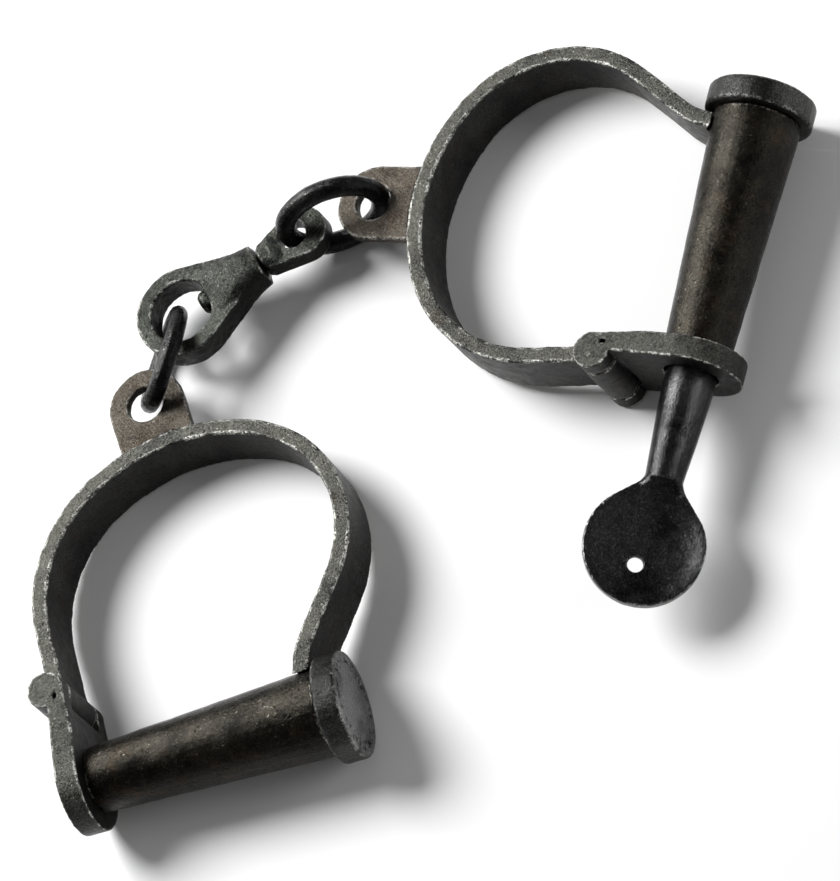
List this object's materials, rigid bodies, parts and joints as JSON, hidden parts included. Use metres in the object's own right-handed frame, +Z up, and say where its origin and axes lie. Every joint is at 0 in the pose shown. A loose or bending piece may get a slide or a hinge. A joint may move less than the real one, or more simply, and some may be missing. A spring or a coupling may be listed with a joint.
{
  "type": "screw-key handcuffs",
  "caption": "Pair of screw-key handcuffs with flat forged bows, conical lock barrels, hinge plates, chain lugs, oval links, a swivel and a hollow key in one lock.",
  "frame": {"origin": "middle of the underside of the whole lay-out, on the table", "axes": "+Z up; +X the longest extent, from the left cuff to the right cuff; +Y towards the chain"},
  "size_m": [0.2458, 0.164, 0.0266],
  "materials": {
    "strap": "blackened forged wrought iron, bright worn edges",
    "plate": "grey, rubbed, lightly brushed",
    "barrel": "brown-black satin",
    "cap": "dark grey, turned face, pitted rim",
    "lug": "brown oxidised, scratched",
    "link": "glossy black, bright scuffs",
    "swivel": "forged, hammered, bright worn corners",
    "key": "glossy black, bright rubbed stripe",
    "pin": "dull steel",
    "inner": "bright oiled steel",
    "spring": "spring steel wire"
  },
  "bodies": {
    "swivel": {"swivel_body": "swivel"},
    "eye": {"swivel_eye": "swivel"},
    "right_link": {"right_link": "link"},
    "right_bow": {"right_bow": "strap", "right_chain_lug": "lug"},
    "right_lock": {"right_hinge_plate": "plate", "right_hinge_pin": "pin", "right_lock_barrel": "barrel", "right_end_cap": "cap", "right_bolt_guide": "inner", "right_bolt_spring": "spring"},
    "right_bolt": {"right_bolt": "inner"},
    "left_link": {"left_link": "link"},
    "left_bow": {"left_bow": "strap", "left_chain_lug": "lug"},
    "left_lock": {"left_hinge_plate": "plate", "left_hinge_pin": "pin", "left_lock_barrel": "barrel", "left_end_cap": "cap", "left_bolt_guide": "inner", "left_bolt_spring": "spring"},
    "left_bolt": {"left_bolt": "inner"},
    "key": {"key_shank": "key", "key_bow": "key"}
  },
  "joints": [
    {"name": "swivel_turn", "type": "hinge", "parent": "swivel", "child": "eye", "pos_m": [0.00059, 0.06578, 0.01128], "axis": [0.9764, -0.2159, -0.0087], "continuous": true},
    {"name": "right_link_swing", "type": "hinge", "parent": "eye", "child": "right_link", "pos_m": [0.01345, 0.06442, 0.0128], "axis": [0.0735, 0.1364, 0.9879], "range_deg": [-20, 30]},
    {"name": "right_cuff_swing", "type": "hinge", "parent": "right_link", "child": "right_bow", "pos_m": [0.03589, 0.05387, 0.01258], "axis": [0.0735, 0.1364, 0.9879], "range_deg": [-20, 35]},
    {"name": "left_link_swing", "type": "hinge", "parent": "swivel", "child": "left_link", "pos_m": [-0.0215, 0.07426, 0.00757], "axis": [0.5612, -0.2726, 0.7815], "range_deg": [-30, 7]},
    {"name": "left_cuff_swing", "type": "hinge", "parent": "left_link", "child": "left_bow", "pos_m": [-0.03888, 0.05794, 0.01435], "axis": [0.5612, -0.2726, 0.7815], "range_deg": [-3, 30]},
    {"name": "right_hinge", "type": "hinge", "parent": "right_bow", "child": "right_lock", "pos_m": [0.04353, -0.02733, 0.0128], "axis": [0.026, -0.0684, -0.9973], "range_deg": [0, 90]},
    {"name": "left_hinge", "type": "hinge", "parent": "left_bow", "child": "left_lock", "pos_m": [-0.1059, 0.01391, 0.0128], "axis": [-0.0504, -0.0531, -0.9973], "range_deg": [0, 90]},
    {"name": "key_turn", "type": "hinge", "parent": "right_lock", "child": "key", "pos_m": [0.05106, -0.04756, 0.01438], "axis": [-0.8369, -0.5472, 0.0157], "range_deg": [0, 1080]},
    {"name": "right_bolt_slide", "type": "slide", "parent": "right_lock", "child": "right_bolt", "axis": [0.8369, 0.5472, -0.0157], "range_m": [0, 0.0045]},
    {"name": "left_bolt_slide", "type": "slide", "parent": "left_lock", "child": "left_bolt", "axis": [0.856, -0.5168, -0.0157], "range_m": [0, 0.0045]}
  ],
  "couplings": [
    {"joint": "right_bolt_slide", "follows": "key_turn", "m_per_rad": 0.00023873}
  ]
}
